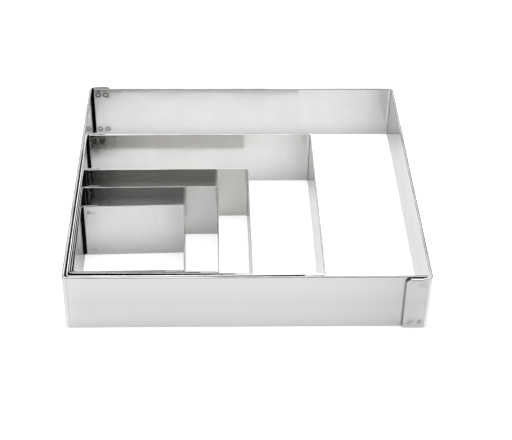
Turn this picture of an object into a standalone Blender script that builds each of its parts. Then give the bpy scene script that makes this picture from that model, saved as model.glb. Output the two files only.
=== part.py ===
# Nest of five square pastry rings, each standing inside the next larger one.
# A ring is two identical bent strips of stainless sheet, turned half a turn to each other.
# Each strip has two walls and a short tab. The tab wraps round the corner onto the outside
# of the other strip's wall, and four spot welds hold it there.
# Units are metres, +Z is up, and the origin is the middle of the nest's base.

import math

import bmesh
import bpy
from mathutils import Matrix, Vector

# Sizes of the rings, each outer width taken over the tabs and the same both ways
WALL_HEIGHT = 0.035
RING_1_WIDTH = 0.200
RING_2_WIDTH = 0.140
RING_3_WIDTH = 0.100
RING_4_WIDTH = 0.080
RING_5_WIDTH = 0.060

# Sheet metal
RING_1_SHEET = 0.0015
RING_2_SHEET = 0.0008
RING_3_SHEET = 0.0005
RING_4_SHEET = 0.0005
RING_5_SHEET = 0.0005
BEND_INNER_RADIUS = 0.0015

# Laps
TAB_TOP_CHAMFER = 0.0025
TAB_BOTTOM_ROUND = 0.0010
LAP_GAP = 0.0002
END_CLEARANCE = 0.0004

# Spot weld marks of the two large rings, with the plain sheet left between a mark and the
# bend, the next mark, the tab's free end and the rim
LARGE_MARK_RADIUS = 0.00175
LARGE_MARK_TO_BEND = 0.00075
LARGE_MARK_TO_MARK = 0.0015
LARGE_MARK_TO_TAB_END = 0.00225
LARGE_MARK_TO_RIM = 0.00245

# The same for the three small rings, which are welded with a finer tip
SMALL_MARK_RADIUS = 0.0009
SMALL_MARK_TO_BEND = 0.0016
SMALL_MARK_TO_MARK = 0.0004
SMALL_MARK_TO_TAB_END = 0.0050
SMALL_MARK_TO_RIM = 0.0031

# Weld nuggets
NUGGET_CLEARANCE = 0.0003
DENT_RIM = 0.0002
DENT_DEPTH = 0.0001

# How the rings stand, each smaller one close to the front and left walls around it
NEIGHBOUR_GAP = 0.0002
SIDE_GAP = 0.0006
RING_1_TURN = 0.0
RING_2_TURN = 0.0
RING_3_TURN = math.radians(0.10)
RING_4_TURN = math.radians(0.15)
RING_5_TURN = math.radians(0.60)

# Facets, and how far every cutter runs past what it cuts
BEND_SEGMENTS = 6
ROUND_SEGMENTS = 4
WELD_SIDES = 16
SHARP_ANGLE = math.radians(30.0)
CUT_OVERRUN = 0.002

STEEL_COLOUR = (0.78, 0.78, 0.77, 1.0)
STEEL_ROUGHNESS = 0.20
WELD_COLOUR = (0.58, 0.58, 0.59, 1.0)
WELD_ROUGHNESS = 0.35

LARGE_MARKS = {
    "radius": LARGE_MARK_RADIUS,
    "to_bend": LARGE_MARK_TO_BEND,
    "to_mark": LARGE_MARK_TO_MARK,
    "to_tab_end": LARGE_MARK_TO_TAB_END,
    "to_rim": LARGE_MARK_TO_RIM,
}
SMALL_MARKS = {
    "radius": SMALL_MARK_RADIUS,
    "to_bend": SMALL_MARK_TO_BEND,
    "to_mark": SMALL_MARK_TO_MARK,
    "to_tab_end": SMALL_MARK_TO_TAB_END,
    "to_rim": SMALL_MARK_TO_RIM,
}


def ring_of(name, width, sheet, turn, marks):
    return {"name": name, "width": width, "sheet": sheet, "turn": turn, "marks": marks}


RINGS = [
    ring_of("ring_1", RING_1_WIDTH, RING_1_SHEET, RING_1_TURN, LARGE_MARKS),
    ring_of("ring_2", RING_2_WIDTH, RING_2_SHEET, RING_2_TURN, LARGE_MARKS),
    ring_of("ring_3", RING_3_WIDTH, RING_3_SHEET, RING_3_TURN, SMALL_MARKS),
    ring_of("ring_4", RING_4_WIDTH, RING_4_SHEET, RING_4_TURN, SMALL_MARKS),
    ring_of("ring_5", RING_5_WIDTH, RING_5_SHEET, RING_5_TURN, SMALL_MARKS),
]


def clear_scene():
    for thing in list(bpy.data.objects):
        bpy.data.objects.remove(thing, do_unlink=True)


def new_collection(name):
    collection = bpy.data.collections.new(name)
    bpy.context.scene.collection.children.link(collection)
    return collection


def metal(name, colour, roughness):
    material = bpy.data.materials.new(name)
    material.use_nodes = True
    shader = material.node_tree.nodes["Principled BSDF"]
    shader.inputs["Base Color"].default_value = colour
    shader.inputs["Metallic"].default_value = 1.0
    shader.inputs["Roughness"].default_value = roughness
    material.diffuse_color = colour
    return material


def new_object(name, mesh, collection, parent):
    thing = bpy.data.objects.new(name, mesh)
    collection.objects.link(thing)
    thing.parent = parent
    return thing


def lap_depth(ring):
    # How far a tab's outer face stands out of the wall that it laps
    return ring["sheet"] + LAP_GAP


def bend_radius(ring):
    return BEND_INNER_RADIUS + ring["sheet"]


def mark_places_along(ring):
    # How far the two columns of weld marks lie from the ring's outer corner
    marks = ring["marks"]
    first = bend_radius(ring) + marks["to_bend"] + marks["radius"]
    return first, first + 2 * marks["radius"] + marks["to_mark"]


def tab_length(ring):
    # From the ring's outer corner to the tab's free end
    marks = ring["marks"]
    last_mark = mark_places_along(ring)[-1]
    return last_mark + marks["radius"] + marks["to_tab_end"]


def end_gap(ring):
    # A wall's free end stops short of the other strip, clear of the round inside of its bend.
    # The bend comes nearest at the wall's outer face, one lap gap in from the tab.
    from_centre = BEND_INNER_RADIUS - LAP_GAP
    bend_reach = BEND_INNER_RADIUS - math.sqrt(BEND_INNER_RADIUS ** 2 - from_centre ** 2)
    return ring["sheet"] + bend_reach + END_CLEARANCE


def strip_surface(ring):
    # The strip's outer face, as one upright sheet that follows the tab's free end, the back
    # left corner, the front left corner and the free end of the front wall
    half = ring["width"] / 2
    front = -half + lap_depth(ring)
    route = [
        Vector((-half + tab_length(ring), half, 0.0)),
        Vector((-half, half, 0.0)),
        Vector((-half, front, 0.0)),
        Vector((half - end_gap(ring), front, 0.0)),
    ]
    surface = bmesh.new()
    feet = [surface.verts.new(point) for point in route]
    edges = [surface.edges.new(pair) for pair in zip(feet, feet[1:])]
    raised = bmesh.ops.extrude_edge_only(surface, edges=edges)["geom"]
    tops = [item for item in raised if isinstance(item, bmesh.types.BMVert)]
    bmesh.ops.translate(surface, verts=tops, vec=Vector((0.0, 0.0, WALL_HEIGHT)))

    # The tab's free end has its top corner cut off and its bottom corner rounded
    tab_end = [vert for vert in surface.verts if vert.co.x > -half and vert.co.y > 0.0]
    tab_top = max(tab_end, key=lambda vert: vert.co.z)
    tab_foot = min(tab_end, key=lambda vert: vert.co.z)
    bmesh.ops.bevel(surface, geom=[tab_top], offset=TAB_TOP_CHAMFER, segments=1,
                    affect="VERTICES")
    bmesh.ops.bevel(surface, geom=[tab_foot], offset=TAB_BOTTOM_ROUND,
                    segments=ROUND_SEGMENTS, profile=0.5, affect="VERTICES")

    # The two upright corners are bent to the sheet's outer radius
    corners = [edge for edge in surface.edges if not edge.is_boundary]
    bmesh.ops.bevel(surface, geom=corners, offset=bend_radius(ring), segments=BEND_SEGMENTS,
                    profile=0.5, affect="EDGES")

    # Its faces look out of the ring, so that the sheet's thickness goes inwards
    bmesh.ops.recalc_face_normals(surface, faces=surface.faces)
    left_wall = max(surface.faces, key=lambda face: abs(face.normal.x) * face.calc_area())
    if left_wall.normal.x > 0.0:
        bmesh.ops.reverse_faces(surface, faces=surface.faces)
    mesh = bpy.data.meshes.new(ring["name"] + "_strip_surface")
    surface.to_mesh(mesh)
    surface.free()
    return mesh


def weld_places(ring):
    # The four weld centres of the front lap, midway through the tab, the gap and the wall
    half = ring["width"] / 2
    middle = -half + ring["sheet"] + LAP_GAP / 2
    from_rim = ring["marks"]["to_rim"] + ring["marks"]["radius"]
    return [
        Vector((half - along, middle, height))
        for height in (WALL_HEIGHT - from_rim, from_rim)
        for along in mark_places_along(ring)
    ]


def weld_depth(ring):
    return 2 * ring["sheet"] + LAP_GAP


def add_disc(mesh, radius, depth, place):
    # A round disc or bar with its axis along the Y of its place
    bmesh.ops.create_cone(mesh, cap_ends=True, segments=WELD_SIDES, radius1=radius,
                          radius2=radius, depth=depth,
                          matrix=place @ Matrix.Rotation(math.radians(90.0), 4, "X"))


def weld_hole_cutter(ring, collection, parent):
    # One bar through each weld of the ring, front lap and back lap
    bars = bmesh.new()
    depth = weld_depth(ring) + 2 * CUT_OVERRUN
    for angle in (0.0, math.pi):
        for place in weld_places(ring):
            turned = Matrix.Rotation(angle, 4, "Z") @ Matrix.Translation(place)
            add_disc(bars, ring["marks"]["radius"], depth, turned)
    mesh = bpy.data.meshes.new(ring["name"] + "_weld_holes")
    bars.to_mesh(mesh)
    bars.free()
    cutter = new_object(ring["name"] + "_weld_holes", mesh, collection, parent)
    cutter.hide_render = True
    cutter.display_type = "WIRE"
    return cutter


def strip_mesh(ring, cutter, collection):
    # The outer face is thickened inwards, and the weld holes are cut through both laps
    blank = new_object(ring["name"] + "_blank", strip_surface(ring), collection, cutter.parent)
    solidify = blank.modifiers.new("sheet", "SOLIDIFY")
    solidify.thickness = ring["sheet"]
    solidify.offset = -1.0
    solidify.use_even_offset = True
    holes = blank.modifiers.new("weld_holes", "BOOLEAN")
    holes.operation = "DIFFERENCE"
    holes.solver = "EXACT"
    holes.object = cutter
    evaluated = blank.evaluated_get(bpy.context.evaluated_depsgraph_get())
    mesh = bpy.data.meshes.new_from_object(evaluated)
    mesh.name = ring["name"] + "_strip"
    bpy.data.objects.remove(blank, do_unlink=True)
    mesh.shade_smooth()
    mesh.set_sharp_from_angle(angle=SHARP_ANGLE)
    return mesh


def nugget_mesh(ring):
    # A weld nugget fills its hole but for the clearance, with both ends dished by the tip
    disc = bmesh.new()
    radius = ring["marks"]["radius"] - NUGGET_CLEARANCE
    add_disc(disc, radius, weld_depth(ring), Matrix.Identity(4))
    ends = [face for face in disc.faces if len(face.verts) == WELD_SIDES]
    bmesh.ops.inset_individual(disc, faces=ends, thickness=DENT_RIM)
    for face in ends:
        bmesh.ops.translate(disc, verts=face.verts, vec=-DENT_DEPTH * face.normal)
    mesh = bpy.data.meshes.new(ring["name"] + "_nugget")
    disc.to_mesh(mesh)
    disc.free()
    mesh.shade_smooth()
    mesh.set_sharp_from_angle(angle=SHARP_ANGLE)
    return mesh


def seat_inside(outer, inner):
    # Where a ring's middle and turn lie, seen from the middle of the ring around it.
    # Its foremost point, the tab or the wall's corner, stands one neighbour gap off the outer
    # ring's front wall, and its left wall keeps the side gap, or more where it is turned.
    turn = inner["turn"]
    turned_width = inner["width"] * math.sin(turn)
    side_room = max(SIDE_GAP, NEIGHBOUR_GAP + turned_width)
    tab_rise = (inner["width"] - tab_length(inner)) * math.sin(turn)
    tab_room = max(0.0, lap_depth(inner) * math.cos(turn) - tab_rise)
    front_wall_back = lap_depth(outer) + outer["sheet"]
    outer_half = outer["width"] / 2
    corner = Vector((
        -outer_half + outer["sheet"] + side_room,
        -outer_half + front_wall_back + NEIGHBOUR_GAP + tab_room,
        0.0,
    ))
    inner_half = inner["width"] / 2
    spin = Matrix.Rotation(turn, 4, "Z")
    middle = corner + spin @ Vector((inner_half, inner_half - lap_depth(inner), 0.0))
    return Matrix.Translation(middle) @ spin


def build_ring(ring, placement, parts, cutters, weld_metal):
    # Everything of one ring hangs on an empty at its middle, which lifts along +Z
    holder = new_object(ring["name"] + "_lift", None, parts, None)
    holder.matrix_world = placement
    bpy.context.view_layer.update()

    cutter = weld_hole_cutter(ring, cutters, holder)
    strip = strip_mesh(ring, cutter, parts)
    strip.materials.append(metal(ring["name"] + "_steel", STEEL_COLOUR, STEEL_ROUGHNESS))
    nugget = nugget_mesh(ring)
    nugget.materials.append(weld_metal)

    for strip_side, lap_side, angle in (
        ("front_left", "front", 0.0),
        ("back_right", "back", math.pi),
    ):
        half = new_object(ring["name"] + "_" + strip_side + "_half", strip, parts, holder)
        half.rotation_euler.z = angle
        for number, place in enumerate(weld_places(ring), start=1):
            name = ring["name"] + "_" + lap_side + "_weld_" + str(number)
            weld = new_object(name, nugget, parts, holder)
            weld.location = Matrix.Rotation(angle, 4, "Z") @ place
            weld.rotation_euler.z = angle


def build_nest():
    clear_scene()
    parts = new_collection("square_pastry_rings")
    cutters = new_collection("cutters")
    weld_metal = metal("weld_steel", WELD_COLOUR, WELD_ROUGHNESS)
    placement = Matrix.Identity(4)
    for number, ring in enumerate(RINGS):
        if number > 0:
            placement = placement @ seat_inside(RINGS[number - 1], ring)
        build_ring(ring, placement, parts, cutters, weld_metal)


build_nest()
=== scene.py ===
import math

import bpy
import numpy as np
from mathutils import Matrix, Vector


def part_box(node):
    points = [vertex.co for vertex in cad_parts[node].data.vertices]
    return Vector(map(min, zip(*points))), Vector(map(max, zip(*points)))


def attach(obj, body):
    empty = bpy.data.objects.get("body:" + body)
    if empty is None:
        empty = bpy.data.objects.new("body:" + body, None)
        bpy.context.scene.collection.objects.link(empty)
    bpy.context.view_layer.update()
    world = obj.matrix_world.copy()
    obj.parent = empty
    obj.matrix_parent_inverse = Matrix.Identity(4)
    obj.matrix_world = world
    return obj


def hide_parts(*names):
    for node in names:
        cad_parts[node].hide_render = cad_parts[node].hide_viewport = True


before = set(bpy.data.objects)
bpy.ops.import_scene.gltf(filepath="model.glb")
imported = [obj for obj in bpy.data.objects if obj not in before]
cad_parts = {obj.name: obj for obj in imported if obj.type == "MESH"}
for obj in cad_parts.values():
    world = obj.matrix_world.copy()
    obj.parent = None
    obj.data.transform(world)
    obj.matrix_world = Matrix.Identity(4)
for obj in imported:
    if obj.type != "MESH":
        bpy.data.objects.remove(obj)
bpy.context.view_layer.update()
print("nest loaded,", len(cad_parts), "solids")

# How the rings are made, in metres
ringMake = {
    "widths": {"ring_1": 0.200, "ring_2": 0.140, "ring_3": 0.100, "ring_4": 0.080, "ring_5": 0.060},
    "sheets": {"ring_1": 0.0015, "ring_2": 0.0008, "ring_3": 0.0005, "ring_4": 0.0005, "ring_5": 0.0005},
    "height": 0.035,
    "bendInside": 0.0015,
    "lapGap": 0.0002,
    "endClearance": 0.0004,
    "tabChamfer": 0.0025,
    "tabRound": 0.0010,
    "edgeShare": 0.24,  # how much of the sheet's thickness each worn edge rounds off
    "seamShade": 0.0003,  # how far inside a lap the painted shade on the wall is at its full strength
    "cornerShade": 0.0005,  # and how far below the line of the tab's clipped corner
    "creviceShadeTurn": 154.0,  # painted shade under a tab ends where its bend faces this way, in degrees,
    "creviceShadeTurnFade": 14.0,  # and is full this far before
    "litLip": 0.0005,  # light falls this far down into a lap
    "lapDarkFade": 0.026,  # how far the darkening fades along the wall beside a lap
    "cornerFade": 0.012,  # and painted shade along the inside of the back left corner
    "cornerPower": 1.6,
    "backFade": 0.015,  # painted shade fades along the inside of both back corners
    "bendShadeTurn": 7.0,  # a painted shade line lies this many degrees into each bend
    "bendShadeSpread": 4.5,
    "cleanRimTurn": 30.0,  # a rim's flat is clean, and the painted shade is full so many degrees round its edge
    "endReach": 1.01,  # a cut end is worn this many edge radii in
    "sideWallPower": 8,  # how sharply a side wall's painted shade gives way in its bends
    "outerEdgeShade": 0.65,  # how dark the painted shade line along each edge of a rim is
    "innerEdgeShade": 0.35,
}

# Spot welds, in metres. The two large rings are struck with a wider tip than the small ones.
weldMake = {
    "large": {"radius": 0.00175, "toBend": 0.00075, "toMark": 0.0015, "toTabEnd": 0.00225, "toRim": 0.00245},
    "small": {"radius": 0.0009, "toBend": 0.0016, "toMark": 0.0004, "toTabEnd": 0.0050, "toRim": 0.0031},
    "largeTips": ("ring_1", "ring_2"),
    "nuggetClearance": 0.0003,
    "nuggetDepth": 0.00005,
    # The cup, the groove round it and the lip outside: where each lies, in mark radii, and how
    # sharp or wide it is
    "cupDepth": 0.00009,
    "cupRim": 0.93,
    "cupSharpness": 40,
    "cupOutside": 50,  # past this the cup's depth is nothing
    "grooveDepth": 0.00011,
    "grooveAt": 0.94,
    "grooveWidth": 0.075,
    "lipHeight": 0.00003,
    "lipAt": 1.16,
    "lipWidth": 0.09,
    "plainRelief": 0.2,  # an unburnt mark is this share as deep, and burning adds the rest
    "burntRelief": 0.8,
    # How strongly each mark is burnt in: upper near the corner, upper further, then the lower two
    "burns": {
        "ring_1_front": (0.42, 0.10, 0.50, 0.50),
        "ring_1_back": (1.00, 0.95, 0.80, 0.75),
        "ring_2_front": (0.70, 0.60, 0.45, 0.50),
        "ring_2_back": (1.00, 0.95, 0.60, 0.55),
        "ring_3_front": (0.50, 0.60, 0.40, 0.50),
        "ring_3_back": (0.70, 0.60, 0.45, 0.50),
        "ring_4_front": (0.60, 0.45, 0.50, 0.35),
        "ring_4_back": (0.60, 0.50, 0.40, 0.55),
        "ring_5_front": (0.55, 0.60, 0.50, 0.40),
        "ring_5_back": (0.70, 0.15, 0.30, 0.50),
    },
}

# Hand-rolled sheet is never quite flat: each wave is (depth, length along, length up, phase)
sheetWaves = {
    "waves": [
        (0.000035, 0.083, 0.120, 0.4),
        (0.000020, 0.041, 0.060, 2.1),
        (0.000010, 0.019, 0.031, 4.4),
        (0.000004, 0.0085, 0.013, 1.2),
    ],
    "steadyShare": 0.6,  # how much of a wave is the same all the way up, and how much sways
    "swayShare": 0.4,
    "swayTurn": 1.7,
    "seedStep": 2.3,  # how far the waves differ from one ring to the next
    "endFade": 0.02,  # the waves die out over this length at each end of a strip
    "coarseStep": 0.0030,
    "endDivisions": 8,  # the coarse step is cut into so many near a strip's ends
    "rimDivisions": 6,  # and near its rims
    "fineShare": 0.11,  # grid step near a weld mark, as a share of the mark's radius
    "fineReach": 1.35,  # and how far it reaches from the mark's middle, in mark radii
    "bendSteps": 14,
    "endTurns": [0.0, 30.0, 60.0, 90.0],  # stations round a worn end and a worn rim, in degrees
    "rimTurns": [0.0, 22.5, 45.0, 67.5],
    "firstStation": 1.4,  # the first stations above a rim's edge, in edge radii
    "secondStation": 2,
    "digits": 9,  # stations alike to so many decimals are one
}


def spread(start, end, step):
    # Evenly spaced places from start up to end, which is left out
    count = max(1, math.ceil((end - start) / step - 1e-9))
    return np.linspace(start, end, count, endpoint=False)


def ringSizes(ring):
    # Every length that one ring's strips and welds share
    width = ringMake["widths"][ring]
    sheet = ringMake["sheets"][ring]
    inside = ringMake["bendInside"]
    tip = weldMake["large" if ring in weldMake["largeTips"] else "small"]
    bend = inside + sheet
    reach = inside - math.sqrt(inside ** 2 - (inside - ringMake["lapGap"]) ** 2)
    firstMark = bend + tip["toBend"] + tip["radius"]
    secondMark = firstMark + 2 * tip["radius"] + tip["toMark"]
    rowHeight = tip["toRim"] + tip["radius"]
    return {
        "half": width / 2,
        "sheet": sheet,
        "lap": sheet + ringMake["lapGap"],
        "bend": bend,
        "tab": secondMark + tip["radius"] + tip["toTabEnd"],
        "endGap": sheet + reach + ringMake["endClearance"],
        "marks": [firstMark, secondMark],
        "rows": [ringMake["height"] - rowHeight, rowHeight],
        "markRadius": tip["radius"],
        "edge": sheet * ringMake["edgeShare"],
    }


def ringPlace(ring, sizes):
    # The ring's middle and turn, from where its two opposite corner welds lie in the frame
    ends = []
    for lap in ("front", "back"):
        low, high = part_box(f"{ring}_{lap}_weld_1")
        ends.append(((low.x + high.x) / 2, (low.y + high.y) / 2))
    (frontX, frontY), (backX, backY) = ends
    straightX = sizes["half"] - sizes["marks"][0]
    straightY = -sizes["half"] + sizes["sheet"] + ringMake["lapGap"] / 2
    turn = math.atan2(frontY - backY, frontX - backX) - math.atan2(straightY, straightX)
    return (frontX + backX) / 2, (frontY + backY) / 2, turn


# The rings are bent by hand and stand a little out of square. A corner's own shift across and
# back, in metres, fades along the walls that meet there. Along the front wall the left corner's
# share falls as one less a power of the way across, so a high power bulges the wall.
outOfSquare = {
    "shifts": {
        "ring_2": {"frontLeft": (0.0002, -0.0011), "frontRight": (0.0, 0.0002),
                   "backRight": (0.0003, 0.0008)},
        "ring_3": {"frontLeft": (0.0, 0.0002), "frontRight": (-0.0006, -0.0008),
                   "backRight": (-0.0009, 0.0005), "backLeft": (0.0, -0.0004)},
        "ring_4": {"frontLeft": (0.0, -0.0003), "frontRight": (0.0, -0.0006), "backRight": (0.0002, 0.0006)},
        "ring_5": {"frontLeft": (0.0, -0.0006), "frontRight": (0.0, -0.0006), "backRight": (0.0, 0.0010)},
    },
    "frontPowers": {"ring_2": 3},
}


def handBent(ring, sizes, x, y):
    # Moves places on a ring's plan by its corners' shifts, each weighted by how near it is
    across = (x / sizes["half"] + 1) / 2
    backward = (y / sizes["half"] + 1) / 2
    towardsRight = np.clip(across, 0, None) ** outOfSquare["frontPowers"].get(ring, 1)
    weights = {
        "frontLeft": (1 - towardsRight) * (1 - backward),
        "frontRight": towardsRight * (1 - backward),
        "backRight": across * backward,
        "backLeft": (1 - across) * backward,
    }
    shifts = outOfSquare["shifts"].get(ring, {})
    movedX = x + sum(weights[corner] * shift[0] for corner, shift in shifts.items())
    movedY = y + sum(weights[corner] * shift[1] for corner, shift in shifts.items())
    return movedX, movedY


def inFrame(ring, sizes, x, y, flipped):
    # From a strip's own plan to the frame: half a turn for the back right strip, then the
    # hand bending, the ring's turn and its middle
    flip = -1 if flipped else 1
    bentX, bentY = handBent(ring, sizes, flip * x, flip * y)
    middleX, middleY, turn = ringPlace(ring, sizes)
    worldX = middleX + math.cos(turn) * bentX - math.sin(turn) * bentY
    worldY = middleY + math.sin(turn) * bentX + math.cos(turn) * bentY
    return worldX, worldY


def routeBreaks(sizes):
    # Distances along a strip at which its tab, bends and walls begin and end
    half = sizes["half"]
    bend = sizes["bend"]
    quarter = bend * math.pi / 2
    lengths = [
        sizes["tab"] - bend,
        quarter,
        2 * half - sizes["lap"] - 2 * bend,
        quarter,
        2 * half - sizes["endGap"] - bend,
    ]
    return np.concatenate([[0.0], np.cumsum(lengths)])


def placesAlong(sizes):
    # Stations along the strip, close together at its bends, weld marks and cut ends
    breaks = routeBreaks(sizes)
    total = breaks[-1]
    fine = sizes["markRadius"] * sheetWaves["fineShare"]
    around = sizes["markRadius"] * sheetWaves["fineReach"]
    coarse = sheetWaves["coarseStep"]
    dense = coarse / sheetWaves["endDivisions"]
    edge = sizes["edge"]
    first, second = sizes["marks"]
    tabFine = (sizes["tab"] - second - around, sizes["tab"] - first + around)
    endFine = (total - (second - sizes["endGap"]) - around, total - (first - sizes["endGap"]) + around)
    tabFine = (max(edge, tabFine[0]), min(breaks[1], tabFine[1]))
    bendStep = (breaks[2] - breaks[1]) / sheetWaves["bendSteps"]
    turns = np.radians(sheetWaves["endTurns"])
    parts = [
        edge * (1 - np.cos(turns[:-1])),
        spread(edge, tabFine[0], dense),
        spread(tabFine[0], tabFine[1], fine),
        spread(tabFine[1], breaks[1], dense),
        spread(breaks[1], breaks[2], bendStep),
        spread(breaks[2], breaks[3], coarse),
        spread(breaks[3], breaks[4], bendStep),
        spread(breaks[4], endFine[0], coarse),
        spread(endFine[0], endFine[1], fine),
        spread(endFine[1], total - edge, dense),
        total - edge + edge * np.sin(turns),
    ]
    return np.unique(np.round(np.concatenate(parts), sheetWaves["digits"]))


def placesUp(sizes):
    # Stations up the sheet's face, close together where the rows of weld marks lie
    fine = sizes["markRadius"] * sheetWaves["fineShare"]
    around = sizes["markRadius"] * sheetWaves["fineReach"]
    coarse = sheetWaves["coarseStep"]
    dense = coarse / sheetWaves["rimDivisions"]
    edge = sizes["edge"]
    first = sheetWaves["firstStation"] * edge
    second = sheetWaves["secondStation"] * edge
    height = ringMake["height"]
    high, low = sizes["rows"]
    parts = [
        [edge, first],
        spread(second, low - around, dense),
        spread(low - around, low + around, fine),
        spread(low + around, high - around, coarse),
        spread(high - around, high + around, fine),
        spread(high + around, height - second, dense),
        [height - second, height - first, height - edge],
    ]
    return np.unique(np.round(np.concatenate(parts), sheetWaves["digits"]))


def stripProfile(sizes):
    # Half of the sheet's cut section, from the flat of its lower rim up its outer face to the
    # flat of its upper rim: a quarter round, the face, and a quarter round again.
    # Gives each point's depth into the sheet, its share of the face's height, its lift, whether
    # it lies on a rim, and how far the rim has turned over there, in degrees.
    edge = sizes["edge"]
    theta = np.radians(sheetWaves["rimTurns"])
    face = placesUp(sizes)
    shareUp = (face - edge) / (ringMake["height"] - 2 * edge)
    depth = np.concatenate([edge - edge * np.sin(theta), 0 * face, edge - edge * np.sin(theta[::-1])])
    share = np.concatenate([0 * theta, shareUp, 0 * theta + 1])
    lift = np.concatenate([edge - edge * np.cos(theta), 0 * face + edge, edge + edge * np.cos(theta[::-1])])
    onEdge = np.concatenate([0 * theta + 1, 0 * face, 0 * theta + 1])
    roundTurn = np.degrees(np.concatenate([theta, 0 * face, theta[::-1]]))
    return depth, share, lift, onEdge, roundTurn


def waveDepth(along, up, seed):
    # How far the sheet bows outwards: a sum of sine waves along it, each swelling and
    # fading up its height
    bow = 0 * along
    for depth, lengthAlong, lengthUp, phase in sheetWaves["waves"]:
        sway = np.cos(2 * np.pi * up / lengthUp + seed * sheetWaves["swayTurn"] + phase)
        swell = sheetWaves["steadyShare"] + sheetWaves["swayShare"] * sway
        bow = bow + depth * np.sin(2 * np.pi * along / lengthAlong + phase + seed) * swell
    return bow


def markRelief(distance, radius):
    # A weld mark's depth at some distance from its centre: a shallow cup, a groove where the
    # tip's rim bit in, and a low lip of metal pushed up around it
    out = distance / radius
    pastCup = np.minimum((out - weldMake["cupRim"]) * weldMake["cupSharpness"], weldMake["cupOutside"])
    cup = weldMake["cupDepth"] / (1 + np.exp(pastCup))
    groove = weldMake["grooveDepth"] * np.exp(-((out - weldMake["grooveAt"]) / weldMake["grooveWidth"]) ** 2)
    lip = weldMake["lipHeight"] * np.exp(-((out - weldMake["lipAt"]) / weldMake["lipWidth"]) ** 2)
    return cup + groove - lip


def newObject(name, data):
    # An object at the origin, with its place in its mesh
    made = bpy.data.objects.new(name, data)
    bpy.context.scene.collection.objects.link(made)
    return made


def meshFrom(name, points, faces, smooth=True):
    # A mesh of the given points, in their order, and the faces that join them
    mesh = bpy.data.meshes.new(name)
    mesh.from_pydata(points.reshape(-1, 3).tolist(), [], faces)
    mesh.update()
    if smooth:
        mesh.shade_smooth()
    return mesh


def giveAttribute(mesh, name, values):
    # One number for each point
    made = mesh.attributes.new(name, "FLOAT", "POINT")
    made.data.foreach_set("value", values.astype(np.float32).ravel())


def giveSides(mesh, name, outer, inner, shape):
    # Numbers for a strip's outer face and for its inner face, spread over the face's grid
    sides = [np.broadcast_to(values, shape) for values in (outer, inner)]
    giveAttribute(mesh, name, np.stack(sides, axis=1))


def giveUv(mesh, name, u, v):
    # A place for each face corner
    both = np.stack([u, v], axis=-1).astype(np.float32)
    mesh.uv_layers.new(name=name).data.foreach_set("uv", both.ravel())


def giveSheetUv(mesh, along, up, centres, burns, radius):
    # Each quad's corners take their points' places on the unrolled sheet, and again as measured
    # from the mark that is nearest to the quad's middle, in mark radii
    corner = np.zeros(len(mesh.loops), np.int32)
    mesh.loops.foreach_get("vertex_index", corner)
    u = along.ravel()[corner].reshape(-1, 4)
    v = up.ravel()[corner].reshape(-1, 4)
    fromMarks = np.hypot(u.mean(1)[:, None] - centres[:, 0], v.mean(1)[:, None] - centres[:, 1])
    nearest = np.argmin(fromMarks, axis=1)
    giveUv(mesh, "unrolled", u, v)
    giveUv(mesh, "weldMarks", (u - centres[nearest, :1]) / radius, (v - centres[nearest, 1:]) / radius)
    burnt = np.repeat(burns[nearest], 4).astype(np.float32)
    mesh.attributes.new("markBurn", "FLOAT", "CORNER").data.foreach_set("value", burnt)


def stripFaces(stations, points):
    # Quads over a grid of stations along, two sides of the sheet, and points up each side,
    # closed by a strip of quads along each rim and across each cut end
    index = np.arange(stations * 2 * points).reshape(stations, 2, points)
    outer = index[:, 0]
    inner = index[:, 1]
    quads = [
        np.stack([outer[:-1, :-1], outer[1:, :-1], outer[1:, 1:], outer[:-1, 1:]], axis=-1),
        np.stack([inner[:-1, :-1], inner[:-1, 1:], inner[1:, 1:], inner[1:, :-1]], axis=-1),
        np.stack([outer[:-1, -1], outer[1:, -1], inner[1:, -1], inner[:-1, -1]], axis=-1),
        np.stack([outer[:-1, 0], inner[:-1, 0], inner[1:, 0], outer[1:, 0]], axis=-1),
        np.stack([outer[0, :-1], outer[0, 1:], inner[0, 1:], inner[0, :-1]], axis=-1),
        np.stack([outer[-1, :-1], inner[-1, :-1], inner[-1, 1:], outer[-1, 1:]], axis=-1),
    ]
    return np.concatenate([q.reshape(-1, 4) for q in quads]).tolist()


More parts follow.
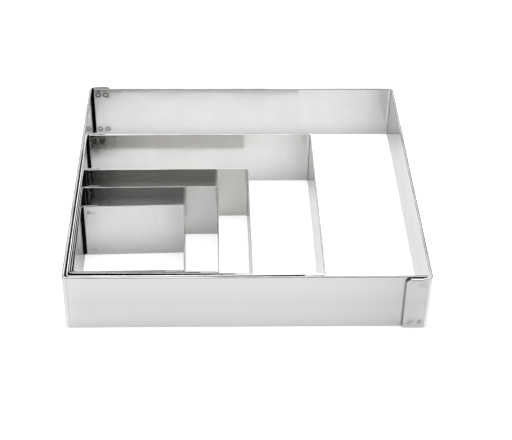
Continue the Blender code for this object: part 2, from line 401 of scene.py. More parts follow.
def giveWear(mesh, ring, side, along, up, outward, onEdge, roundTurn):
    # What the finish reads at each point, from how far along and up the strip it lies, which
    # way the sheet faces there, and how far a rim has turned over
    sizes = ringSizes(ring)
    breaks = routeBreaks(sizes)
    total = breaks[-1]
    edge = sizes["edge"]
    height = ringMake["height"]
    grid = up.shape

    # Painted shade sits where the laps close: inside the tab and its bend, and outside the wall's end
    offRim = (1 - onEdge * (1 - np.clip(roundTurn / ringMake["cleanRimTurn"], 0, 1)))[None, :]
    offEnd = np.clip(along / edge - 1, 0, 1)[:, None]
    intoBend = (ringMake["creviceShadeTurn"] - np.degrees(outward)) / ringMake["creviceShadeTurnFade"]
    underTab = np.clip(intoBend, 0, 1)[:, None] * offRim * offEnd
    lapStart = total + sizes["endGap"] - sizes["tab"]
    intoLap = (along - lapStart)[:, None]
    fromClip = (intoLap + height - up - ringMake["tabChamfer"]) / math.sqrt(2)
    besideTab = np.clip(intoLap / ringMake["seamShade"], 0, 1)
    inNotch = np.clip(fromClip / ringMake["cornerShade"], 0, 1)
    belowLip = np.clip((height - edge - up) / ringMake["litLip"], 0, 1)
    giveSides(mesh, "crevice", np.minimum(besideTab, inNotch) * belowLip, underTab, grid)

    # Rims and cut ends are worn bright, with a painted shade line along both edges of a rim
    offChamfer = np.clip((along - ringMake["tabChamfer"]) / edge, 0, 1)[:, None]
    edgeShade = np.sin(np.radians(2 * roundTurn))[None, :] * offChamfer
    giveSides(mesh, "edgeShadeLine", edgeShade * ringMake["outerEdgeShade"], edgeShade * ringMake["innerEdgeShade"], grid)
    fromEnd = np.minimum(along, total - along)
    cutEnd = (fromEnd < edge * ringMake["endReach"])[:, None].astype(float)
    rim = np.maximum(cutEnd, onEdge[None, :])
    giveSides(mesh, "wornEdge", rim, rim, grid)
    # Each wall's rim takes its share of painted light and shade
    tones = steelFinish["rimLightTones"][ring]
    walls = ["front", "front", "right", "right", "back", "back"]
    if side == "front_left":
        walls = ["back", "back", "left", "left", "front", "frontEnd"]
    rimLightTone = np.interp(along, breaks, [tones.get(wall, 1.0) for wall in walls])[:, None]
    giveSides(mesh, "rimLightTone", rimLightTone, rimLightTone, grid)

    # Each bend takes a painted highlight, strongest at its middle, and a painted shade line near both its
    # ends
    fromTangent = 45 - np.abs(np.degrees(outward) % 90 - 45)
    bendShadeLine = np.exp(-((fromTangent - ringMake["bendShadeTurn"]) / ringMake["bendShadeSpread"]) ** 2)
    giveSides(mesh, "bendShadeLine", bendShadeLine[:, None], 0.0, grid)
    # Painted highlight, strongest in the middle of each bend
    bendShare = np.abs(np.sin(2 * outward))[:, None]
    giveSides(mesh, "bendHighlightShare", bendShare, bendShare, grid)

    # The tab and the wall beside a lap are darker, and both back corners and the back left corner take
    # painted shade
    lapDarkening = np.exp(-np.clip(lapStart - along, 0, None) / ringMake["lapDarkFade"]) + (along < sizes["tab"])
    giveSides(mesh, "lapDarkening", lapDarkening[:, None], 0.0, grid)
    fromCorner = np.clip((total - along) / ringMake["cornerFade"], 0, None)
    cornerShadeFall = np.exp(-fromCorner ** ringMake["cornerPower"]) * (side == "back_right")
    giveSides(mesh, "cornerPaintedShade", 0.0, cornerShadeFall[:, None], grid)
    backBend = (breaks[3] + breaks[4]) / 2 if side == "back_right" else (breaks[1] + breaks[2]) / 2
    fromBend = np.abs(along - backBend) / ringMake["backFade"]
    backCornerShade = np.exp(-fromBend) * steelFinish["backCornerShades"][side].get(ring, 0.0)
    giveSides(mesh, "backCornerShade", 0.0, backCornerShade[:, None], grid)

    # The inside of the side walls takes painted shade, and the finish tells the outer faces from the others
    sideWallShade = np.abs(np.cos(outward)) ** ringMake["sideWallPower"]
    giveSides(mesh, "sideWallShade", 0.0, sideWallShade[:, None], grid)
    giveSides(mesh, "outerFace", 1 - onEdge[None, :], 0.0, grid)


# The shears left each tab's upper rim curled out of its lap. Front tabs that stand against the
# next ring's wall lie flat. In metres.
tabCurls = {
    "rise": {"ring_1_front": 0.0010, "ring_1_back": 0.0005, "ring_2_back": 0.0004, "ring_3_back": 0.0007,
             "ring_4_back": 0.0008, "ring_5_back": 0.0004},
    "bendFade": 0.003,
    "endFade": 0.004,
}


def bentStrip(name, ring, side, seed):
    # A bent sheet: its section slides along a core line that runs straight beside the tab and
    # the walls and stands still in the bends, where the outward direction swings a quarter
    # turn. A point is the core plus that direction times the bend radius less its depth.
    sizes = ringSizes(ring)
    breaks = routeBreaks(sizes)
    total = breaks[-1]
    half = sizes["half"]
    bend = sizes["bend"]
    back = half - bend
    front = -half + sizes["lap"] + bend
    left = -half + bend
    along = placesAlong(sizes)
    depth, share, lift, onEdge, roundTurn = stripProfile(sizes)

    coreX = np.interp(along, breaks, [-half + sizes["tab"], left, left, left, left, half - sizes["endGap"]])
    coreY = np.interp(along, breaks, [back, back, back, front, front, front])
    outward = np.radians(np.interp(along, breaks, [90, 90, 180, 180, 270, 270]))

    # The cut ends are worn round, so the section draws in over the last edge radius
    edge = sizes["edge"]
    fromEnd = np.minimum(along, total - along)
    intoEnd = edge - fromEnd
    inset = np.where(intoEnd > 0, edge - np.sqrt(np.clip(edge ** 2 - intoEnd ** 2, 0, None)), 0.0)
    chamfer = np.clip(ringMake["tabChamfer"] - along, 0, None)
    rounding = np.clip(ringMake["tabRound"] - along, 0, None)
    foot = ringMake["tabRound"] - np.sqrt(ringMake["tabRound"] ** 2 - rounding ** 2)
    low = foot + inset
    high = ringMake["height"] - chamfer - inset

    up = low[:, None] + lift[None, :] + share[None, :] * (high - low - 2 * edge)[:, None]
    drawn = 1 - 2 * inset[:, None] / sizes["sheet"]
    outerDepth = sizes["sheet"] / 2 + (depth[None, :] - sizes["sheet"] / 2) * drawn
    innerDepth = sizes["sheet"] - outerDepth

    # Weld marks show on the outside of the tab and on the inside of the long wall's end. The tab
    # laps over the other strip's wall, so each strip carries the marks of both of its ring's laps.
    alongGrid = np.broadcast_to(along[:, None], up.shape)
    radius = sizes["markRadius"]
    tabLap, wallLap = ("back", "front") if side == "front_left" else ("front", "back")
    centres = []
    burns = []
    for number in (1, 2, 3, 4):
        mark = sizes["marks"][(number - 1) % 2]
        row = sizes["rows"][(number - 1) // 2]
        onTab = np.hypot(alongGrid - (sizes["tab"] - mark), up - row)
        onWall = np.hypot(alongGrid - (total - mark + sizes["endGap"]), up - row)
        tabBurn = weldMake["burns"][f"{ring}_{tabLap}"][number - 1]
        wallBurn = weldMake["burns"][f"{ring}_{wallLap}"][number - 1]
        plain = weldMake["plainRelief"]
        burnt = weldMake["burntRelief"]
        outerDepth = outerDepth + markRelief(onTab, radius) * (plain + burnt * tabBurn)
        innerDepth = innerDepth - markRelief(onWall, radius) * (plain + burnt * wallBurn)
        centres += [(sizes["tab"] - mark, row), (total - mark + sizes["endGap"], row)]
        burns += [tabBurn, wallBurn]

    # Waves along the sheet, and the tab's upper rim curling out of its lap: by the square of the
    # way up from its marks, and less towards the bend, by a smooth step, and the free end
    bow = waveDepth(alongGrid, up, seed) * np.clip(fromEnd / sheetWaves["endFade"], 0, 1)[:, None]
    curlReach = ringMake["height"] - sizes["rows"][0] - radius
    curlUp = np.clip((up - ringMake["height"] + curlReach) / curlReach, 0, 1) ** 2
    curlAlong = np.clip((breaks[1] - along) / tabCurls["bendFade"], 0, 1)[:, None]
    curlAlong = curlAlong * curlAlong * (3 - 2 * curlAlong)
    curlEnd = np.clip(along / tabCurls["endFade"], 0, 1)[:, None]
    bow = bow + tabCurls["rise"].get(f"{ring}_{tabLap}", 0.0) * curlUp * curlAlong * curlEnd
    depths = np.stack([outerDepth - bow, innerDepth - bow], axis=1)
    heights = np.stack([up, up], axis=1)
    reach = bend - depths
    x = coreX[:, None, None] + np.cos(outward)[:, None, None] * reach
    y = coreY[:, None, None] + np.sin(outward)[:, None, None] * reach

    worldX, worldY = inFrame(ring, sizes, x, y, side == "back_right")
    points = np.stack([worldX, worldY, heights], axis=-1)

    mesh = meshFrom(name, points, stripFaces(len(along), len(depth)))
    bothSides = np.broadcast_to(alongGrid[:, None, :], heights.shape)
    giveSheetUv(mesh, bothSides, heights, np.array(centres), np.array(burns), radius)
    giveWear(mesh, ring, side, along, up, outward, onEdge, roundTurn)
    return newObject(name, mesh)


nuggetMake = {
    "endRings": 14,
    "sides": 36,
    "rippleHeight": 0.000006,
    "rippleTurn": 14,
    "rimDrop": 0.00003,  # each end's rim lies this much lower than its middle
    "rimPower": 4,
}


def weldNugget(name, ring, lap, number):
    # A turned button: its radius follows a profile from the centre of one end over the rim to
    # the centre of the other, with fine rings on each end left by the welding tip
    sizes = ringSizes(ring)
    radius = sizes["markRadius"] - weldMake["nuggetClearance"]
    halfDepth = sizes["sheet"] + ringMake["lapGap"] / 2 - weldMake["nuggetDepth"]
    steps = np.linspace(0.0, 1.0, nuggetMake["endRings"] + 1)[1:]
    ripple = nuggetMake["rippleHeight"] * np.cos(steps * nuggetMake["rippleTurn"])
    ripple = ripple - nuggetMake["rimDrop"] * steps ** nuggetMake["rimPower"]
    endRadius = radius * steps
    endDepth = halfDepth + ripple
    profileRadius = np.concatenate([endRadius, endRadius[::-1]])
    profileDepth = np.concatenate([-endDepth, endDepth[::-1]])
    around = np.linspace(0, 2 * np.pi, nuggetMake["sides"], endpoint=False)
    rows = len(profileRadius)
    count = len(around)
    acrossX = profileRadius[:, None] * np.cos(around)[None, :]
    acrossZ = profileRadius[:, None] * np.sin(around)[None, :]
    deep = np.broadcast_to(profileDepth[:, None], acrossX.shape)
    local = np.stack([acrossX, deep, acrossZ], axis=-1).reshape(-1, 3)
    pole = halfDepth + nuggetMake["rippleHeight"]
    poles = np.array([[0.0, -pole, 0.0], [0.0, pole, 0.0]])
    local = np.concatenate([local, poles])
    x = local[:, 0] + sizes["half"] - sizes["marks"][(number - 1) % 2]
    y = local[:, 1] - sizes["half"] + sizes["sheet"] + ringMake["lapGap"] / 2
    worldX, worldY = inFrame(ring, sizes, x, y, lap == "back")
    points = np.stack([worldX, worldY, local[:, 2] + sizes["rows"][(number - 1) // 2]], axis=-1)
    index = np.arange(rows * count).reshape(rows, count)
    following = np.roll(index, -1, axis=1)
    quads = np.stack([index[:-1], following[:-1], following[1:], index[1:]], axis=-1).reshape(-1, 4)
    firstFan = np.stack([following[0], index[0], np.full(count, rows * count)], axis=-1)
    lastFan = np.stack([index[-1], following[-1], np.full(count, rows * count + 1)], axis=-1)
    mesh = meshFrom(name, points, quads.tolist() + firstFan.tolist() + lastFan.tolist())
    share = np.concatenate([np.repeat(profileRadius / radius, count), [0.0, 0.0]])
    giveAttribute(mesh, "fromAxis", share)
    giveAttribute(mesh, "markBurn", 0 * share + weldMake["burns"][f"{ring}_{lap}"][number - 1])
    giveAttribute(mesh, "lapDarkening", (local[:, 1] < 0).astype(float))
    # The inner end of a back weld takes the back left corner's painted shade
    inCornerShade = steelFinish["cornerPaintedShade"][ring] if lap == "back" else 0.0
    giveAttribute(mesh, "cornerPaintedShade", (local[:, 1] > 0) * inCornerShade)
    return newObject(name, mesh)


# Node helpers for the finishes

def newFinish(name):
    # A material, its nodes and its shader
    material = bpy.data.materials.new(name)
    material.use_nodes = True
    return material, material.node_tree, material.node_tree.nodes["Principled BSDF"]


def addNode(tree, kind, inputs=(), **settings):
    # A node whose inputs are linked where they are another node's output, and else set
    node = tree.nodes.new(kind)
    for key, value in settings.items():
        setattr(node, key, value)
    for key, value in dict(inputs).items():
        socket = node.inputs[key]
        if isinstance(value, bpy.types.NodeSocket):
            tree.links.new(value, socket)
        else:
            socket.default_value = value
    return node


def noiseValue(tree, vector, scale, detail):
    # Noise from 0 to 1, with so many grains to the metre or to the stretched unit
    inputs = {"Vector": vector, "Scale": scale, "Detail": detail, "Roughness": steelFinish["noiseRoughness"]}
    return addNode(tree, "ShaderNodeTexNoise", inputs).outputs["Fac"]


def stretched(tree, vector, scale, turn=0.0):
    # A place turned in the plane and scaled each way
    inputs = {"Vector": vector, "Scale": scale, "Rotation": (0.0, 0.0, turn)}
    return addNode(tree, "ShaderNodeMapping", inputs).outputs["Vector"]


def ranged(tree, value, fromLow, fromHigh, toLow, toHigh, course="LINEAR"):
    # A value carried from one range into another, held at the ends
    inputs = {"Value": value, "From Min": fromLow, "From Max": fromHigh, "To Min": toLow, "To Max": toHigh}
    return addNode(tree, "ShaderNodeMapRange", inputs, interpolation_type=course).outputs["Result"]


def smoothRange(tree, value, fromLow, fromHigh, toLow, toHigh):
    # The same by a smooth step
    return ranged(tree, value, fromLow, fromHigh, toLow, toHigh, "SMOOTHSTEP")


def fallingTo(tree, value, share):
    # 1 where the value is 0, falling evenly to a share where it is 1
    return ranged(tree, value, 0.0, 1.0, 1.0, share)


def summed(tree, first, second):
    # First plus second
    return addNode(tree, "ShaderNodeMath", {0: first, 1: second}, operation="ADD").outputs["Value"]


def times(tree, first, second):
    # First times second
    return addNode(tree, "ShaderNodeMath", {0: first, 1: second}, operation="MULTIPLY").outputs["Value"]


steelFinish = {
    "colours": {
        "ring_1": (0.690, 0.690, 0.690, 1.0),
        "ring_2": (0.735, 0.730, 0.720, 1.0),
        "ring_3": (0.680, 0.672, 0.658, 1.0),
        "ring_4": (0.675, 0.668, 0.656, 1.0),
        "ring_5": (0.690, 0.688, 0.684, 1.0),
    },
    "dullShare": 0.93,  # smudges take this share of the clean colour
    # Outer faces are painted darker: painted shade for the reflections between the rings
    "outsideShade": {"ring_1": 1.0, "ring_2": 0.85, "ring_3": 0.90, "ring_4": 0.62, "ring_5": 0.58},  # outside
    "rims": {"ring_1": 0.48, "ring_2": 0.78, "ring_3": 0.64, "ring_4": 0.42, "ring_5": 0.42},
    # Painted light and shade makes some walls' rims brighter and others duller, as a share of their ring's
    # rim colour
    "rimLightTones": {
        "ring_1": {"frontEnd": 0.60, "right": 1.05, "back": 0.72},
        "ring_2": {"right": 0.62, "back": 0.75},
        "ring_3": {"right": 0.82, "back": 1.05},
        "ring_4": {"right": 0.90, "back": 1.20},
        "ring_5": {"right": 0.80},
    },
    # Painted shade on the inside of the right and left walls: how bright they stand against the front and
    # back ones
    "sideInsideShade": {"ring_1": 0.90, "ring_2": 0.95, "ring_3": 1.0, "ring_4": 1.0, "ring_5": 0.80},
    # Painted light and shade at each wall's foot: its colour there as a share of the colour above, inside
    # and outside
    "paintedFootInside": {"ring_1": 1.17, "ring_2": 1.05, "ring_3": 1.04, "ring_4": 0.94, "ring_5": 0.94},
    "paintedFootOutside": {"ring_1": 1.30, "ring_2": 1.0, "ring_3": 1.0, "ring_4": 1.12, "ring_5": 1.0},
    "footReach": 0.020,
    "bendShadeShare": 0.25,
    "soot": {"ring_1": 0.35, "ring_2": 0.8},
    "backCornerShades": {"back_right": {"ring_1": 0.18, "ring_2": 0.18}, "front_left": {"ring_5": 0.55}},
    "cornerShadeRise": (0.014, 0.026),  # the corner's painted shade thickens between these heights
    "cornerPaintedShade": {"ring_1": 0.14, "ring_2": 0.80, "ring_3": 0.80, "ring_4": 0.80, "ring_5": 0.05},
    # Weld marks and weld soot take this dark colour, and so does the painted shade on welds in the back left
    # corner
    "markSootAndShadeColour": (0.03, 0.028, 0.025, 1.0),
    "strawColour": (0.50, 0.47, 0.41, 1.0),
    "rimColour": (1.0, 1.0, 0.993, 1.0),
    "rimDullShare": 0.62,
    "edgeShadeColour": (0.05, 0.05, 0.048, 1.0),
    "creviceShadeColour": (0.012, 0.011, 0.010, 1.0),
    "bendHighlightColour": (0.68, 0.68, 0.675, 1.0),
    "lapDarkShare": {"ring_1": 0.80, "ring_2": 0.62, "ring_3": 0.50, "ring_4": 0.50, "ring_5": 0.62},
    "anisotropic": 0.60,
    "grainRotation": 0.25,  # a quarter turn: the rolled grain runs along the sheet
    "noiseRoughness": 0.55,
    "cornerShadeFoot": 0.2,  # below its rise, the corner's painted shade is this share as thick
    "haloShare": 0.35,  # how far a weld's heat tints the steel round it
    "edgeShadeShare": 0.85,
    "addedRoughness": {"hairs": 0.05, "markRing": 0.30, "worn": 0.18, "crevice": 0.45},
    "relief": (0.5, 0.8, -0.5),  # how far the grain, the coarse grain and the scratches stand up
    "bump": (0.25, 0.000004),  # strength, and depth in metres
}

# Noise on the unrolled sheet: grains to the metre along and up it, turn in radians, and detail
sheetNoises = {
    "grain": (60.0, 5200.0, 0.0, 4.0),
    "coarseGrain": (18.0, 900.0, 0.0, 3.0),
    "scratchOne": (90.0, 9000.0, 0.35, 2.0),
    "scratchTwo": (120.0, 8000.0, -0.9, 2.0),
    "upright": (95.0, 6.0, 0.0, 3.0),
    "streaks": (900.0, 70.0, 0.0, 3.0),
    "rimWear": (38.0, 3.0, 0.0, 3.0),
}

# Noise in space: grains to the metre, and detail
spaceNoises = {
    "smudge": (42.0, 4.0),
    "wobble": (1500.0, 2.0),
    "broken": (480.0, 2.0),
    "sootPatch": (420.0, 4.0),
    "smudgeStretch": (1.0, 1.0, 1.6),
    "uprightStep": 7,  # each ring's upright streaks are this much finer than the last one's
}

# How each value is carried over: from these two, to those two
steelRanges = {
    "scratchOne": (0.70, 0.78, 0.0, 1.0),
    "scratchTwo": (0.71, 0.79, 0.0, 1.0),
    "wobble": (0.3, 0.7, -0.05, 0.05),
    "ringIn": (0.68, 0.86, 0.0, 1.0),
    "ringOut": (0.98, 1.16, 1.0, 0.0),
    "whole": (0.4, 0.95, 0.0, 0.75),
    "broken": (0.44, 0.58),  # to how whole the mark's ring is
    "halo": (1.0, 2.6, 1.0, 0.0),
    "heavy": (0.6, 1.0, 0.0, 1.0),
    "sootPatch": (0.42, 0.64, 0.0, 1.0),
    "sootReach": (1.0, 3.2, 1.0, 0.0),
    "smudge": (0.40, 0.75, 0.0, 1.0),
    "upright": (0.35, 0.7, 0.0, 0.6),
    "lapDarkening": (0.0, 1.0, 0.0, 0.8),
    "bendHighlight": (0.25, 0.8, 0.0, 0.9),
    "streaks": (0.35, 0.62, 0.75, 1.08),
    "rimWear": (0.40, 0.65, 0.0, 1.0),
    "roughGrain": (0.3, 0.7, 0.060, 0.095),
    "roughSmudge": (0.35, 0.75, 0.0, 0.04),
}


def colourMix(tree, share, first, second):
    # Two colours or colour outputs mixed by a share
    node = tree.nodes.new("ShaderNodeMix")
    node.data_type = "RGBA"
    node.clamp_factor = True
    for socket, value in ((node.inputs[0], share), (node.inputs[6], first), (node.inputs[7], second)):
        if isinstance(value, bpy.types.NodeSocket):
            tree.links.new(value, socket)
        else:
            socket.default_value = value
    return node.outputs[2]


def attributeValue(tree, name):
    # A number that the mesh carries at each point or face corner
    return addNode(tree, "ShaderNodeAttribute", attribute_name=name).outputs["Fac"]


def shaded(colour, share):
    # A colour times a share, still opaque
    return tuple(channel * share for channel in colour[:3]) + (1.0,)


def toned(tree, colour, share):
    # A colour output times a share
    node = addNode(tree, "ShaderNodeVectorMath", {0: colour, "Scale": share}, operation="SCALE")
    return node.outputs["Vector"]


def giveRelief(tree, shader, height, strength, depth):
    # Relief too fine for the mesh: the normal leans with the height's slope
    bump = addNode(tree, "ShaderNodeBump", {"Height": height, "Strength": strength, "Distance": depth})
    tree.links.new(bump.outputs["Normal"], shader.inputs["Normal"])


def sheetNoise(tree, unrolled, name, wider=0.0):
    # One of the noises that follow the sheet round its bends
    along, up, turn, detail = sheetNoises[name]
    return noiseValue(tree, stretched(tree, unrolled, (along + wider, up, 1.0), turn), 1.0, detail)


def rolledSteel(name, ring, seed):
    # Bright rolled stainless: fine grain along the sheet, faint hand scratches, soft smudges
    # of dullness, burnt weld rings with a straw tint, darker tabs, darker outer faces as painted
    # shade in the reflections between rings, painted shade in the laps, in the back corners and on
    # the side walls, painted highlights on the bends, painted light and shade at the walls' feet
    # and on the rims, and rims bright on top with a painted shade line along their edges
    material, tree, shader = newFinish(name)
    unrolled = addNode(tree, "ShaderNodeUVMap", uv_map="unrolled").outputs["UV"]
    marks = addNode(tree, "ShaderNodeUVMap", uv_map="weldMarks").outputs["UV"]
    place = addNode(tree, "ShaderNodeTexCoord").outputs["Object"]
    burn = attributeValue(tree, "markBurn")
    worn = attributeValue(tree, "wornEdge")
    crevice = attributeValue(tree, "crevice")

    grain = sheetNoise(tree, unrolled, "grain")
    coarseGrain = sheetNoise(tree, unrolled, "coarseGrain")
    smudgeScale, smudgeDetail = spaceNoises["smudge"]
    drawn = stretched(tree, place, spaceNoises["smudgeStretch"])
    smudge = noiseValue(tree, drawn, smudgeScale + seed, smudgeDetail)
    upright = sheetNoise(tree, unrolled, "upright", spaceNoises["uprightStep"] * seed)
    hairOne = ranged(tree, sheetNoise(tree, unrolled, "scratchOne"), *steelRanges["scratchOne"])
    hairTwo = ranged(tree, sheetNoise(tree, unrolled, "scratchTwo"), *steelRanges["scratchTwo"])
    hairs = summed(tree, hairOne, hairTwo)

    # Each weld mark: a dark ring, broken here and there, in a soft halo of heat tint
    fromMark = addNode(tree, "ShaderNodeVectorMath", {0: marks}, operation="LENGTH").outputs["Value"]
    wobble = noiseValue(tree, place, *spaceNoises["wobble"])
    fromMark = summed(tree, fromMark, ranged(tree, wobble, *steelRanges["wobble"]))
    ringIn = smoothRange(tree, fromMark, *steelRanges["ringIn"])
    ringOut = smoothRange(tree, fromMark, *steelRanges["ringOut"])
    whole = ranged(tree, burn, *steelRanges["whole"])
    broken = noiseValue(tree, place, *spaceNoises["broken"])
    broken = ranged(tree, broken, *steelRanges["broken"], whole, 1.0)
    markRing = times(tree, times(tree, ringIn, ringOut), times(tree, burn, broken))
    halo = times(tree, smoothRange(tree, fromMark, *steelRanges["halo"]), burn)
    heavy = ranged(tree, burn, *steelRanges["heavy"])
    sootPatch = ranged(tree, noiseValue(tree, place, *spaceNoises["sootPatch"]), *steelRanges["sootPatch"])
    soot = times(tree, times(tree, smoothRange(tree, fromMark, *steelRanges["sootReach"]), heavy), sootPatch)

    clean = steelFinish["colours"][ring]
    dull = shaded(clean, steelFinish["dullShare"])
    outer = attributeValue(tree, "outerFace")
    colour = colourMix(tree, ranged(tree, smudge, *steelRanges["smudge"]), clean, dull)
    colour = colourMix(tree, ranged(tree, upright, *steelRanges["upright"]), colour, dull)
    # Outer faces painted darker, as painted shade in the reflections between rings
    colour = colourMix(tree, outer, colour, shaded(clean, steelFinish["outsideShade"][ring]))
    # Darker on the tab and on the wall beside a lap
    lapDarkening = ranged(tree, attributeValue(tree, "lapDarkening"), *steelRanges["lapDarkening"])
    colour = colourMix(tree, lapDarkening, colour, shaded(clean, steelFinish["lapDarkShare"][ring]))
    # Painted highlight on the bends
    bendHighlight = ranged(tree, attributeValue(tree, "bendHighlightShare"), *steelRanges["bendHighlight"])
    colour = colourMix(tree, bendHighlight, colour, steelFinish["bendHighlightColour"])

    # The colour times its painted light and shade: the wall's foot, the bends' shade lines, the side walls,
    # the corners
    height = addNode(tree, "ShaderNodeSeparateXYZ", {"Vector": unrolled}).outputs["Y"]
    footReach = steelFinish["footReach"]
    paintedFootInside = smoothRange(tree, height, 0.0, footReach, steelFinish["paintedFootInside"][ring], 1.0)
    paintedFootOutside = smoothRange(tree, height, 0.0, footReach, steelFinish["paintedFootOutside"][ring], 1.0)
    inner = fallingTo(tree, outer, 0.0)
    foot = summed(tree, times(tree, paintedFootInside, inner), times(tree, paintedFootOutside, outer))
    for name, share in (("bendShadeLine", 1 - steelFinish["bendShadeShare"]),
                        ("sideWallShade", steelFinish["sideInsideShade"][ring]), ("backCornerShade", 0.0)):
        foot = times(tree, foot, fallingTo(tree, attributeValue(tree, name), share))
    streaks = sheetNoise(tree, unrolled, "streaks")
    # Painted shade inside the back left corner, streaked and thicker higher up
    cornerShading = times(tree, attributeValue(tree, "cornerPaintedShade"), steelFinish["cornerPaintedShade"][ring])
    cornerShading = times(tree, cornerShading, ranged(tree, streaks, *steelRanges["streaks"]))
    cornerShadeRise = smoothRange(tree, height, *steelFinish["cornerShadeRise"], steelFinish["cornerShadeFoot"], 1.0)
    cornerShading = times(tree, cornerShading, cornerShadeRise)
    foot = times(tree, foot, fallingTo(tree, cornerShading, 0.0))
    colour = toned(tree, colour, foot)
    halo = times(tree, halo, steelFinish["haloShare"])
    colour = colourMix(tree, halo, colour, steelFinish["strawColour"])
    soot = times(tree, soot, steelFinish["soot"].get(ring, 0.0))
    colour = colourMix(tree, soot, colour, steelFinish["markSootAndShadeColour"])
    colour = colourMix(tree, markRing, colour, steelFinish["markSootAndShadeColour"])

    rimWear = ranged(tree, sheetNoise(tree, unrolled, "rimWear"), *steelRanges["rimWear"])
    rimClean = shaded(steelFinish["rimColour"], steelFinish["rims"][ring])
    rimDull = shaded(rimClean, steelFinish["rimDullShare"])
    rim = colourMix(tree, rimWear, rimClean, rimDull)
    # Painted light and shade on the rims, wall by wall
    rim = toned(tree, rim, attributeValue(tree, "rimLightTone"))
    colour = colourMix(tree, worn, colour, rim)
    # A painted shade line darkens both rounded edges of each rim
    edgeShade = times(tree, attributeValue(tree, "edgeShadeLine"), steelFinish["edgeShadeShare"])
    colour = colourMix(tree, edgeShade, colour, steelFinish["edgeShadeColour"])
    # Painted shade: the laps' crevices are painted near black
    colour = colourMix(tree, crevice, colour, steelFinish["creviceShadeColour"])
    tree.links.new(colour, shader.inputs["Base Color"])

    rough = ranged(tree, grain, *steelRanges["roughGrain"])
    rough = summed(tree, rough, ranged(tree, smudge, *steelRanges["roughSmudge"]))
    masks = {"hairs": hairs, "markRing": markRing, "worn": worn, "crevice": crevice}
    for name, amount in steelFinish["addedRoughness"].items():
        rough = summed(tree, rough, times(tree, masks[name], amount))
    tree.links.new(rough, shader.inputs["Roughness"])

    grainUp, coarseUp, hairsUp = steelFinish["relief"]
    relief = summed(tree, times(tree, grain, grainUp), times(tree, coarseGrain, coarseUp))
    relief = summed(tree, relief, times(tree, hairs, hairsUp))
    giveRelief(tree, shader, relief, *steelFinish["bump"])
    tangent = addNode(tree, "ShaderNodeTangent", direction_type="UV_MAP", uv_map="unrolled")
    tree.links.new(tangent.outputs["Tangent"], shader.inputs["Tangent"])
    shader.inputs["Metallic"].default_value = 1.0
    shader.inputs["Anisotropic"].default_value = steelFinish["anisotropic"]
    shader.inputs["Anisotropic Rotation"].default_value = steelFinish["grainRotation"]
    return material


nuggetFinish = {
    "centreColour": (0.60, 0.60, 0.595, 1.0),
    "lapDarkColour": (0.47, 0.47, 0.465, 1.0),
    "ringColour": (0.06, 0.057, 0.050, 1.0),
    "mottle": (2600.0, 4.0),  # grains to the metre, and detail
    "mottleRange": (0.45, 0.75, 0.0, 0.6),
    "roughRange": (0.3, 0.7, 0.07, 0.21),
    "rimRange": (0.70, 1.0, 0.0, 1.0),
    "bump": (0.3, 0.00001),
}


def weldedSteel(name):
    # The struck face of a weld: satin grey, turning darker towards its burnt rim
    material, tree, shader = newFinish(name)
    place = addNode(tree, "ShaderNodeTexCoord").outputs["Object"]
    fromAxis = attributeValue(tree, "fromAxis")
    burn = attributeValue(tree, "markBurn")
    mottle = noiseValue(tree, place, *nuggetFinish["mottle"])
    burntRim = times(tree, smoothRange(tree, fromAxis, *nuggetFinish["rimRange"]), burn)
    colour = colourMix(tree, attributeValue(tree, "lapDarkening"), nuggetFinish["centreColour"],
                       nuggetFinish["lapDarkColour"])
    spots = times(tree, ranged(tree, mottle, *nuggetFinish["mottleRange"]), burn)
    for mask in (spots, burntRim):
        colour = colourMix(tree, mask, colour, nuggetFinish["ringColour"])
    # Painted shade from the back left corner
    colour = colourMix(tree, attributeValue(tree, "cornerPaintedShade"), colour, steelFinish["markSootAndShadeColour"])
    tree.links.new(colour, shader.inputs["Base Color"])
    rough = ranged(tree, mottle, *nuggetFinish["roughRange"])
    tree.links.new(rough, shader.inputs["Roughness"])
    giveRelief(tree, shader, mottle, *nuggetFinish["bump"])
    shader.inputs["Metallic"].default_value = 1.0
    return material


weldSteel = weldedSteel("weld steel")
for ringNumber, ring in enumerate(ringMake["widths"], start=1):
    ringSteel = rolledSteel("rolled steel " + str(ringNumber), ring, ringNumber)
    pieces = []
    for side in ("front_left", "back_right"):
        seed = ringNumber * sheetWaves["seedStep"] + (side == "front_left")
        strip = bentStrip(f"{ring}_{side}_strip", ring, side, seed)
        pieces.append(strip)
        strip.data.materials.append(ringSteel)
        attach(strip, ring)
        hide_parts(f"{ring}_{side}_half")
    for lap in ("front", "back"):
        for number in (1, 2, 3, 4):
            nugget = weldNugget(f"{ring}_{lap}_nugget_{number}", ring, lap, number)
            pieces.append(nugget)
            nugget.data.materials.append(weldSteel)
            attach(nugget, ring)
            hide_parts(f"{ring}_{lap}_weld_{number}")
    print("made", ring, "with", sum(len(piece.data.polygons) for piece in pieces), "faces")


floorMake = {
    "size": 6.0,
    "colour": (0.86, 0.86, 0.86, 1.0),
    # Where the camera's lift starts to grow and where it stops, in metres, and its two amounts
    "cameraLift": (0.35, 1.5, 0.56, 1.0),
    "glossyLift": 0.20,
    "roughness": 0.9,
    "specular": 0.0,
}


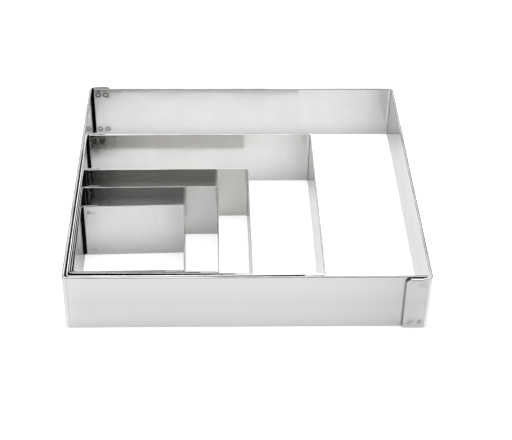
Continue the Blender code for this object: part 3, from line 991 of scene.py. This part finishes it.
def paleFloor():
    # A plain pale square, lifted towards white where the camera or glossy metal sees it, and
    # more the further it lies from the nest
    corners = np.array([[-1.0, -1.0, 0.0], [1.0, -1.0, 0.0], [1.0, 1.0, 0.0], [-1.0, 1.0, 0.0]])
    mesh = meshFrom("studio_floor", corners * floorMake["size"] / 2, [[0, 1, 2, 3]], smooth=False)
    floor = newObject("studio_floor", mesh)
    material, tree, shader = newFinish("white table")
    shader.inputs["Base Color"].default_value = floorMake["colour"]
    shader.inputs["Roughness"].default_value = floorMake["roughness"]
    shader.inputs["Specular IOR Level"].default_value = floorMake["specular"]
    path = addNode(tree, "ShaderNodeLightPath")
    place = addNode(tree, "ShaderNodeTexCoord").outputs["Object"]
    away = addNode(tree, "ShaderNodeVectorMath", {0: place}, operation="LENGTH").outputs["Value"]
    cameraLift = smoothRange(tree, away, *floorMake["cameraLift"])
    lift = summed(tree, times(tree, path.outputs["Is Camera Ray"], cameraLift),
                  times(tree, path.outputs["Is Glossy Ray"], floorMake["glossyLift"]))
    shader.inputs["Emission Color"].default_value = (1.0, 1.0, 1.0, 1.0)
    tree.links.new(lift, shader.inputs["Emission Strength"])
    mesh.materials.append(material)


def facing(right, above, back, place):
    # The matrix whose columns are an object's own X, Y and Z directions and its place
    rows = [(right[axis], above[axis], back[axis], place[axis]) for axis in range(3)]
    return Matrix([*rows, (0.0, 0.0, 0.0, 1.0)])


studioLight = {
    "worldStrength": 0.10,
    "glossyWorld": 0.20,
    "lamps": [
        # name, place, size and power, each aimed at the nest
        ("back softbox", (-0.08, 1.12, 0.84), 0.9, 3.3),
        ("overhead softbox", (0.0, 0.48, 1.32), 1.0, 10.9),
        ("camera side softbox", (0.0, -0.70, 1.21), 1.0, 4.3),
        ("left softbox", (-0.88, 0.0, 1.09), 1.0, 3.7),
        ("right softbox", (0.82, 0.0, 1.13), 1.0, 5.6),
    ],
}


def lightStudio():
    # A dim white world, brighter where glossy metal sees it and white to the camera, and square
    # lamps that face the origin
    world = bpy.data.worlds.new("studio")
    bpy.context.scene.world = world
    world.use_nodes = True
    tree = world.node_tree
    background = tree.nodes["Background"]
    path = addNode(tree, "ShaderNodeLightPath")
    seen = ranged(tree, path.outputs["Is Camera Ray"], 0.0, 1.0, studioLight["worldStrength"], 1.0)
    strength = summed(tree, seen, times(tree, path.outputs["Is Glossy Ray"], studioLight["glossyWorld"]))
    tree.links.new(strength, background.inputs["Strength"])
    background.inputs["Color"].default_value = (1.0, 1.0, 1.0, 1.0)
    for name, place, size, power in studioLight["lamps"]:
        light = bpy.data.lights.new(name, "AREA")
        light.shape = "SQUARE"
        light.size = size
        light.energy = power
        lamp = newObject(name, light)
        back = np.array(place) / np.linalg.norm(place)
        side = np.cross([0.0, 1.0, 0.0], back)
        side = side / np.linalg.norm(side)
        lamp.matrix_world = facing(side, np.cross(back, side), back, place)


cameraPlace = {
    "place": (-0.01641, -0.62938, 0.47165),
    "yaw": -2.1701,
    "pitch": 36.8277,
    "roll": 1.1247,
    "focalPixels": 1280.02,
    "imageWidth": 512,
    "sensor": 36.0,
    "nearest": 0.01,
    "furthest": 20.0,
}


def photoCamera():
    # The camera looks along +Y, turned left by yaw, down by pitch and then rolled
    yaw = math.radians(cameraPlace["yaw"])
    pitch = math.radians(cameraPlace["pitch"])
    roll = math.radians(cameraPlace["roll"])
    ahead = np.array([-math.sin(yaw) * math.cos(pitch), math.cos(yaw) * math.cos(pitch), -math.sin(pitch)])
    level = np.array([math.cos(yaw), math.sin(yaw), 0.0])
    upright = np.cross(level, ahead)
    right = level * math.cos(roll) + upright * math.sin(roll)
    above = -level * math.sin(roll) + upright * math.cos(roll)
    data = bpy.data.cameras.new("photo camera")
    data.sensor_width = cameraPlace["sensor"]
    data.lens = cameraPlace["focalPixels"] * cameraPlace["sensor"] / cameraPlace["imageWidth"]
    data.clip_start = cameraPlace["nearest"]
    data.clip_end = cameraPlace["furthest"]
    camera = newObject("photo camera", data)
    camera.matrix_world = facing(right, above, -ahead, cameraPlace["place"])
    bpy.context.scene.camera = camera


paleFloor()
lightStudio()
photoCamera()
bpy.context.scene.view_settings.view_transform = "Standard"
print("floor, lamps and camera set")
